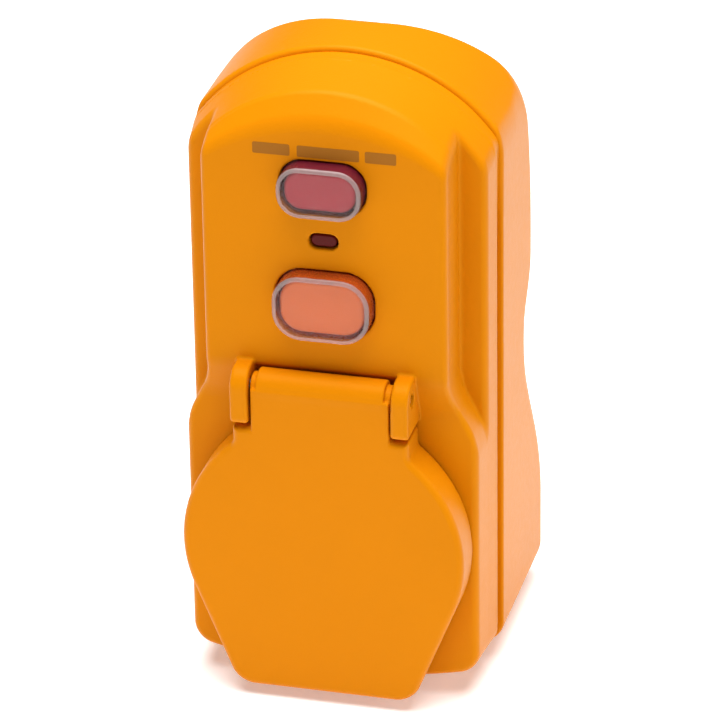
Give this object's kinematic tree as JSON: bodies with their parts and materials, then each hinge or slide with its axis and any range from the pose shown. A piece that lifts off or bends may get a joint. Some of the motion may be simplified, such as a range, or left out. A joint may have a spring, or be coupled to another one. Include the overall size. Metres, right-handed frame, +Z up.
{
  "type": "plug-in residual-current adaptor",
  "caption": "Plug-in safety adaptor: orange two-shell case with arched top, sprung flap over an earthed socket, test and reset buttons under clear boots, and an earthed plug at the back.",
  "frame": {"origin": "centre of the plug's flat end face, between its two pins", "axes": "+Y the way the pins point, into the wall; +Z up; +X right seen from the front"},
  "size_m": [0.0606, 0.1011, 0.129],
  "materials": {
    "case_plastic": "fine-grained moulded ABS, orange",
    "flap_plastic": "fine-grained moulded ABS, orange",
    "insert_plastic": "dark glass-filled plastic",
    "inner_plastic": "natural moulded plastic",
    "test_plastic": "moulded, dark pink",
    "reset_plastic": "moulded, orange-red",
    "lens_plastic": "dark red, translucent",
    "boot_silicone": "clear silicone, slightly milky",
    "seal_rubber": "soft moulded rubber",
    "contact_brass": "stamped, bright",
    "conductor_copper": "drawn copper",
    "pin_nickel": "nickel-plated, satin",
    "spring_steel": "zinc-plated steel",
    "board_laminate": "green laminate with solder mask",
    "component_body": "moulded component bodies"
  },
  "bodies": {
    "case": {"front_shell": "case_plastic", "rear_shell": "case_plastic", "body_seal": "seal_rubber", "hinge_pin": "spring_steel", "flap_spring": "spring_steel", "socket_insert": "insert_plastic", "earth_clip": "pin_nickel", "plug_insert": "insert_plastic", "plug_earth_clip": "pin_nickel", "earth_link": "conductor_copper", "socket_contact_line": "contact_brass", "socket_contact_neutral": "contact_brass", "plug_pin_line": "pin_nickel", "plug_pin_neutral": "pin_nickel", "supply_bar_line": "conductor_copper", "supply_bar_neutral": "conductor_copper", "supply_contact_line": "contact_brass", "supply_contact_neutral": "contact_brass", "load_contact_line": "contact_brass", "load_contact_neutral": "contact_brass", "load_bar_line": "conductor_copper", "load_bar_neutral": "conductor_copper", "main_board": "board_laminate", "current_transformer": "component_body", "solenoid_frame": "spring_steel", "solenoid_coil": "conductor_copper", "plunger_spring": "spring_steel", "test_leaf": "contact_brass", "varistor": "component_body", "capacitor": "component_body", "control_chip": "component_body", "rectifier": "component_body", "dropper_resistor": "component_body", "button_guide": "inner_plastic", "reset_spring": "spring_steel", "reset_boot": "boot_silicone", "test_spring": "spring_steel", "test_boot": "boot_silicone", "indicator_lens": "lens_plastic", "indicator_lamp": "lens_plastic", "case_screw_1": "spring_steel", "case_screw_2": "spring_steel", "case_screw_3": "spring_steel", "case_screw_4": "spring_steel", "board_screw_1": "spring_steel", "board_screw_2": "spring_steel"},
    "flap": {"socket_flap": "flap_plastic", "flap_seal": "seal_rubber"},
    "test_key": {"test_button": "test_plastic"},
    "reset_key": {"reset_button": "reset_plastic"},
    "contact_bridge": {"contact_carrier": "inner_plastic", "moving_contact_line": "contact_brass", "moving_contact_neutral": "contact_brass"},
    "plunger": {"trip_plunger": "spring_steel"}
  },
  "joints": [
    {"name": "flap_hinge", "type": "hinge", "parent": "case", "child": "flap", "pos_m": [0, -0.078, 0.0336], "axis": [-1, 0, 0], "range_deg": [0, 100], "stiffness_Nm_per_rad": 0.01, "springref_deg": -57.3},
    {"name": "test_press", "type": "slide", "parent": "case", "child": "test_key", "axis": [0, 1, 0], "range_m": [0, 0.0015], "stiffness_N_per_m": 600, "springref_m": -0.002, "deforming": ["test_spring", "test_boot"]},
    {"name": "reset_press", "type": "slide", "parent": "case", "child": "reset_key", "axis": [0, 1, 0], "range_m": [0, 0.002], "stiffness_N_per_m": 800, "springref_m": -0.002, "deforming": ["reset_spring", "reset_boot"]},
    {"name": "contact_travel", "type": "slide", "parent": "case", "child": "contact_bridge", "axis": [0, 1, 0], "range_m": [0, 0.002]},
    {"name": "trip_stroke", "type": "slide", "parent": "case", "child": "plunger", "axis": [0, 0, -1], "range_m": [0, 0.0015], "stiffness_N_per_m": 300, "springref_m": -0.001, "deforming": ["plunger_spring"]}
  ],
  "couplings": [
    {"joint": "contact_travel", "follows": "reset_press", "ratio": 1}
  ]
}
